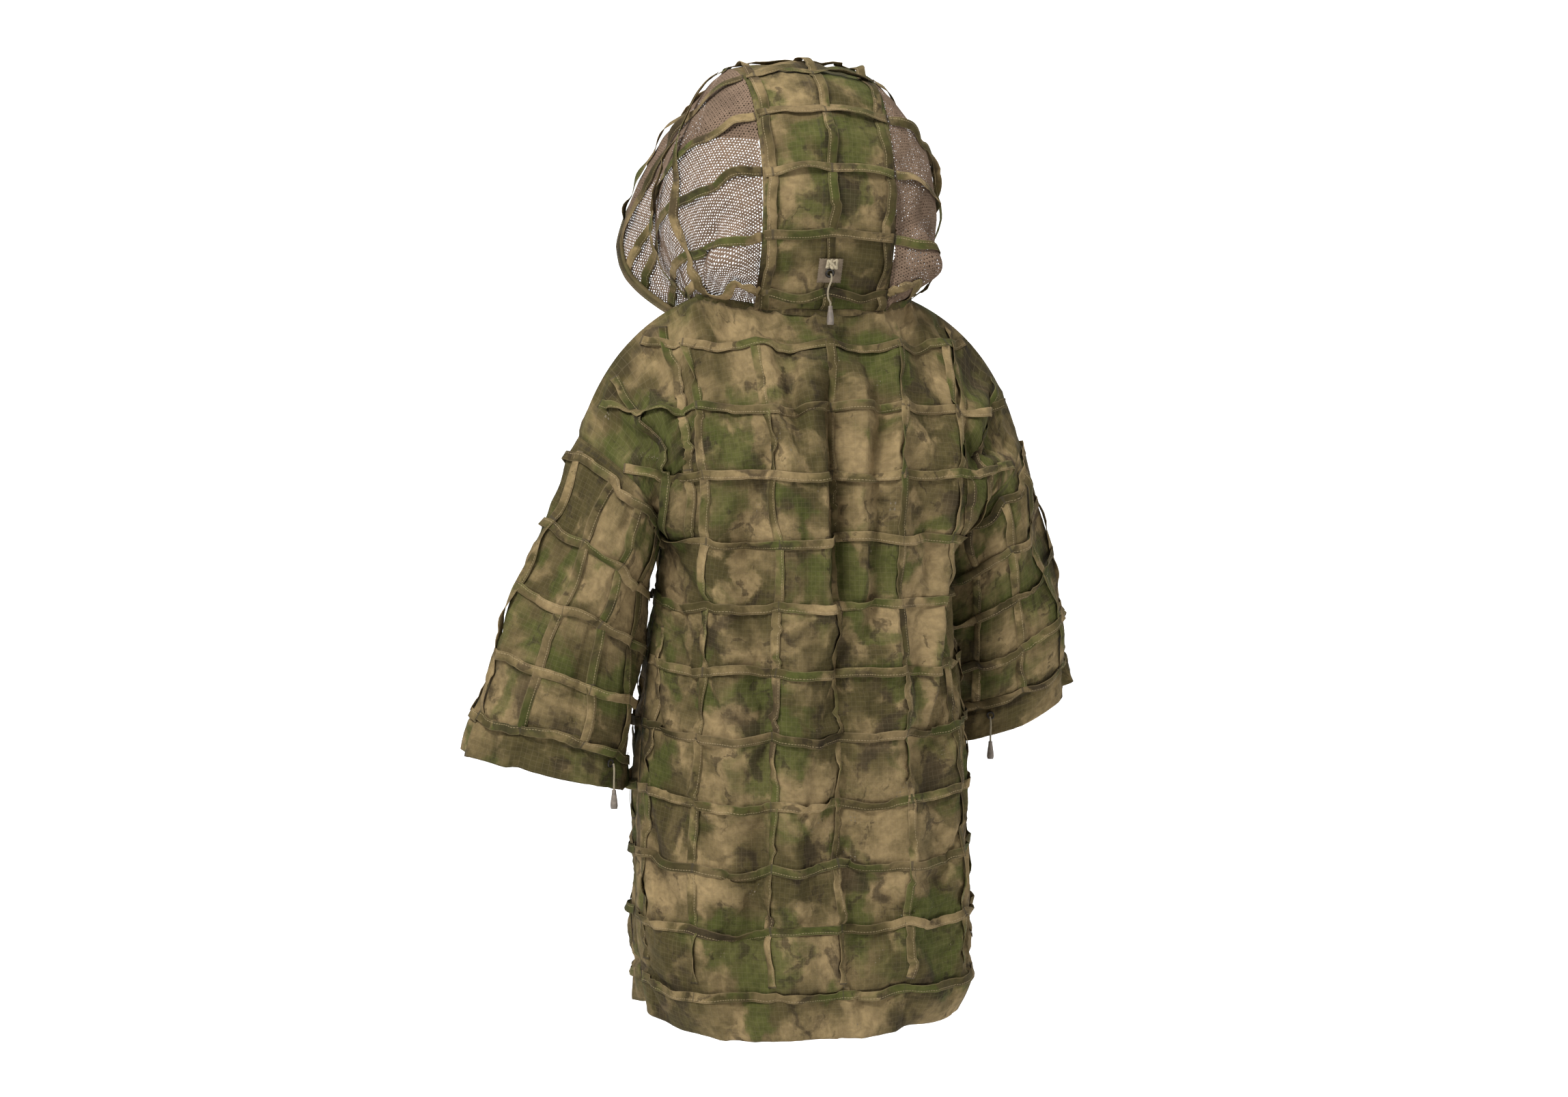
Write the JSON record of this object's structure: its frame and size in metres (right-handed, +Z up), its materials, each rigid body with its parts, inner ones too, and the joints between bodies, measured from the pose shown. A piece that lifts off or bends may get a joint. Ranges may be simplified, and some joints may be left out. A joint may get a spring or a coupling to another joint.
{
  "type": "ghillie suit",
  "caption": "Hooded half-sleeve camouflage base coat with a grid of netting tapes for garnish, mesh hood sides, front zip and elastic cord adjusters.",
  "frame": {"origin": "middle of the neck opening, level with the back neck seam, where the coat hangs on its wearer", "axes": "+Z up, front of the coat to -Y, wearer's left to +X"},
  "size_m": [0.849, 0.3637, 1.2085],
  "materials": {
    "camo_cloth": "ripstop cotton blend, soft blotched woodland print",
    "netting_tape": "folded printed tape, stitched along one edge",
    "lining_cloth": "plain reverse of the shell cloth",
    "hood_mesh": "open warp-knit mesh, matt",
    "webbing": "woven webbing, matt",
    "binding_tape": "folded cloth binding",
    "zip_tape": "knitted zip tape",
    "zip_coil": "moulded coil",
    "zip_metal": "dull coated metal",
    "pull_plastic": "moulded pull",
    "eyelet_metal": "dark coated metal",
    "cord_end_plastic": "moulded plastic, satin",
    "elastic_cord": "braided elastic",
    "elastic_tape": "flat woven elastic"
  },
  "bodies": {
    "coat": {"back_panel": "camo_cloth", "front_panel_left": "camo_cloth", "front_panel_right": "camo_cloth", "neck_facing": "lining_cloth", "hem_facing_back": "lining_cloth", "hem_facing_left": "lining_cloth", "hem_facing_right": "lining_cloth", "hanger_loop": "webbing", "back_tapes_across": "netting_tape", "back_tapes_down": "netting_tape", "front_tapes_left": "netting_tape", "front_tapes_right": "netting_tape", "shoulder_tapes_left": "netting_tape", "shoulder_tapes_right": "netting_tape", "zip_tape_left": "zip_tape", "zip_tape_right": "zip_tape", "zip_coil_left": "zip_coil", "zip_coil_right": "zip_coil", "zip_top_stops": "zip_metal", "zip_bottom_stop": "zip_metal", "zip_guard": "lining_cloth"},
    "zip_runner": {"zip_slider": "zip_metal"},
    "zip_pull_tab": {"zip_pull": "pull_plastic"},
    "left_sleeve_body": {"left_sleeve": "camo_cloth", "left_cuff_facing": "lining_cloth", "left_sleeve_tapes_around": "netting_tape", "left_sleeve_tapes_down": "netting_tape", "left_cuff_eyelet": "eyelet_metal"},
    "left_cuff_toggle": {"left_cuff_cord": "elastic_cord", "left_cuff_cord_end": "cord_end_plastic"},
    "right_sleeve_body": {"right_sleeve": "camo_cloth", "right_cuff_facing": "lining_cloth", "right_sleeve_tapes_around": "netting_tape", "right_sleeve_tapes_down": "netting_tape", "right_cuff_eyelet": "eyelet_metal"},
    "right_cuff_toggle": {"right_cuff_cord": "elastic_cord", "right_cuff_cord_end": "cord_end_plastic"},
    "hood_body": {"hood_panel": "camo_cloth", "hood_mesh_left": "hood_mesh", "hood_mesh_right": "hood_mesh", "hood_face_binding": "binding_tape", "hood_tapes_long": "netting_tape", "hood_tapes_cross": "netting_tape", "hood_patch": "webbing", "hood_eyelet": "eyelet_metal", "hood_knot": "elastic_tape"},
    "hood_toggle": {"hood_cord": "elastic_cord", "hood_cord_end": "cord_end_plastic"}
  },
  "joints": [
    {"name": "zip_slide", "type": "slide", "parent": "coat", "child": "zip_runner", "axis": [0, -0.1009, -0.9949], "range_m": [0, 0.772]},
    {"name": "zip_pull_swing", "type": "hinge", "parent": "zip_runner", "child": "zip_pull_tab", "pos_m": [0, -0.1207, -0.04279], "axis": [-1, 0, 0], "range_deg": [0, 150]},
    {"name": "left_sleeve_raise", "type": "hinge", "parent": "coat", "child": "left_sleeve_body", "pos_m": [0.292, 0, -0.155], "axis": [0, -1, 0], "range_deg": [0, 75]},
    {"name": "right_sleeve_raise", "type": "hinge", "parent": "coat", "child": "right_sleeve_body", "pos_m": [-0.292, 0, -0.155], "axis": [0, 1, 0], "range_deg": [0, 75]},
    {"name": "left_cuff_toggle_swing", "type": "hinge", "parent": "left_sleeve_body", "child": "left_cuff_toggle", "pos_m": [0.26262, 0.05185, -0.55566], "axis": [0.8344, 0.5511, 0], "range_deg": [0, 60]},
    {"name": "right_cuff_toggle_swing", "type": "hinge", "parent": "right_sleeve_body", "child": "right_cuff_toggle", "pos_m": [-0.26218, -0.01392, -0.52514], "axis": [0.8233, -0.5676, 0], "range_deg": [0, 60]},
    {"name": "hood_fold", "type": "hinge", "parent": "coat", "child": "hood_body", "pos_m": [0, 0.075, 0], "axis": [-1, 0, 0], "range_deg": [0, 80]},
    {"name": "hood_toggle_swing", "type": "hinge", "parent": "hood_body", "child": "hood_toggle", "pos_m": [0, 0.10556, 0.044], "axis": [1, 0, 0], "range_deg": [0, 92]}
  ],
  "couplings": [
    {"joint": "hood_toggle_swing", "follows": "hood_fold", "ratio": 1.15}
  ]
}
